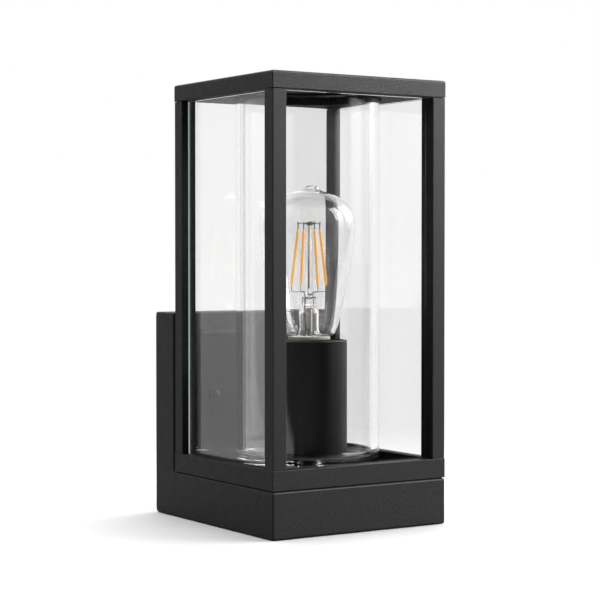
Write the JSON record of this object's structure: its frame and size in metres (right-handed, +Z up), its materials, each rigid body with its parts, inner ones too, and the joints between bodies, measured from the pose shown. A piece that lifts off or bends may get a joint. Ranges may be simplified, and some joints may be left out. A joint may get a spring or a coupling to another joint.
{
  "type": "outdoor wall lantern",
  "caption": "Square glazed cage lantern on an L-shaped cast wall housing, with a thick inner glass, an E27 lampholder and a filament bulb.",
  "frame": {"origin": "on the wall face of the bracket, at the middle of the housing's arm", "axes": "+Z up, +Y into the wall, -Y out of the wall towards the cage, +X to the right seen from the front"},
  "size_m": [0.14, 0.1602, 0.3044],
  "materials": {
    "powder_coat": "fine matte graphite powder coat",
    "nut_coat": "satin black",
    "holder_coat": "satin black",
    "holder_plastic": "matte black",
    "black_rubber": "matte",
    "bracket_steel": "zinc plated",
    "screw_steel": "black passivated",
    "contact_brass": "plain",
    "terminal_plastic": "plain",
    "wire_brown": "plain",
    "wire_blue": "plain",
    "wire_green": "plain",
    "pane_glass": "clear float",
    "thick_glass": "clear pressed",
    "bulb_envelope": "clear blown",
    "cap_nickel": "satin nickel",
    "collar_ceramic": "cream, finely speckled",
    "cap_insulator": "black vitrite",
    "lead_metal": "drawn wire",
    "filament_phosphor": "amber phosphor"
  },
  "bodies": {
    "lantern": {"housing": "powder_coat", "wall_bracket": "bracket_steel", "cable_grommet": "black_rubber", "wall_gasket": "black_rubber", "mounting_stud_left": "bracket_steel", "mounting_stud_right": "bracket_steel", "sealing_washer_left": "black_rubber", "sealing_washer_right": "black_rubber", "cap_nut_left": "nut_coat", "cap_nut_right": "nut_coat", "terminal_block": "terminal_plastic", "live_wire": "wire_brown", "neutral_wire": "wire_blue", "earth_wire": "wire_green", "earth_screw": "contact_brass", "tray": "powder_coat", "base_gasket": "black_rubber", "inner_glass": "thick_glass", "glass_foot_gasket": "black_rubber", "holder_gasket": "black_rubber", "lampholder_cover": "holder_coat", "lampholder_insert": "holder_plastic", "thread_shell": "contact_brass", "centre_contact": "contact_brass", "threaded_nipple": "screw_steel", "nipple_nut_lower": "screw_steel", "nipple_nut_upper": "screw_steel", "post_front_left": "powder_coat", "cage_screw_front_left": "screw_steel", "post_front_right": "powder_coat", "cage_screw_front_right": "screw_steel", "post_rear_left": "powder_coat", "cage_screw_rear_left": "screw_steel", "post_rear_right": "powder_coat", "cage_screw_rear_right": "screw_steel", "pane_left": "pane_glass", "pane_right": "pane_glass", "pane_front": "pane_glass", "pane_rear": "pane_glass"},
    "roof": {"roof_cap": "powder_coat", "roof_plate": "powder_coat", "glass_top_gasket": "black_rubber", "roof_screw_front_left": "screw_steel", "roof_screw_front_right": "screw_steel", "roof_screw_rear_left": "screw_steel", "roof_screw_rear_right": "screw_steel"},
    "bulb_foot": {"bulb_contact": "cap_nickel"},
    "bulb": {"bulb_glass": "bulb_envelope", "bulb_cap": "cap_nickel", "bulb_collar": "collar_ceramic", "bulb_insulator": "cap_insulator", "bulb_stem": "bulb_envelope", "filament_hanger": "lead_metal", "lead_wire_left": "lead_metal", "lead_wire_right": "lead_metal", "led_filament_1": "filament_phosphor", "led_filament_2": "filament_phosphor", "led_filament_3": "filament_phosphor", "led_filament_4": "filament_phosphor"}
  },
  "joints": [
    {"name": "roof_lift", "type": "slide", "parent": "lantern", "child": "roof", "axis": [0, 0, 1], "range_m": [0, 0.1]},
    {"name": "bulb_rise", "type": "slide", "parent": "lantern", "child": "bulb_foot", "axis": [0, 0, 1], "range_m": [0, 0.0164]},
    {"name": "bulb_turn", "type": "hinge", "parent": "bulb_foot", "child": "bulb", "pos_m": [0, -0.0947, 0.054], "axis": [0, 0, 1], "range_deg": [0, 1620]}
  ],
  "couplings": [
    {"joint": "bulb_rise", "follows": "bulb_turn", "m_per_rad": 0.00057774}
  ]
}
